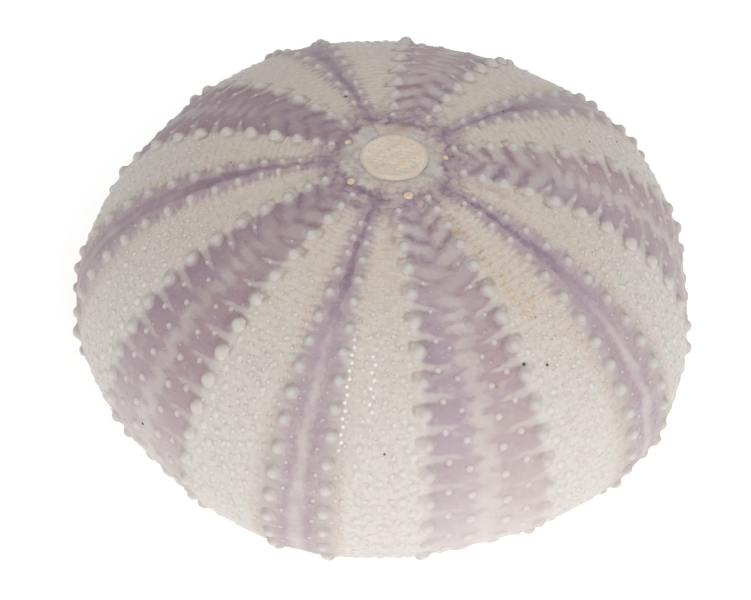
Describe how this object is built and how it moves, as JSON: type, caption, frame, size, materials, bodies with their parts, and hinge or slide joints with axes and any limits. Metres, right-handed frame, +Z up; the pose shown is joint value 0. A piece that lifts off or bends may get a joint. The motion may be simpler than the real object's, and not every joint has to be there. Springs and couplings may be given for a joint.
{
  "type": "sea urchin shell",
  "caption": "Hollow domed shell of a regular sea urchin, spines gone, with lavender plate bands, pale pore bands, rows of spine knobs and an open mouth underneath.",
  "frame": {"origin": "on the plane the shell stands on, under the middle of its width; the axis through the apex stands 0.9 mm towards -Y of it", "axes": "+Z up from the mouth to the apex; one wide plate band faces -Y, and +X is to the right of it seen from -Y"},
  "size_m": [0.0808, 0.081, 0.0463],
  "materials": {
    "shell": "matt calcite, cream-white with lavender bands",
    "membrane": "dry, granular, cream"
  },
  "bodies": {
    "root": {"shell": "shell", "crown_membrane": "membrane"}
  },
  "joints": []
}
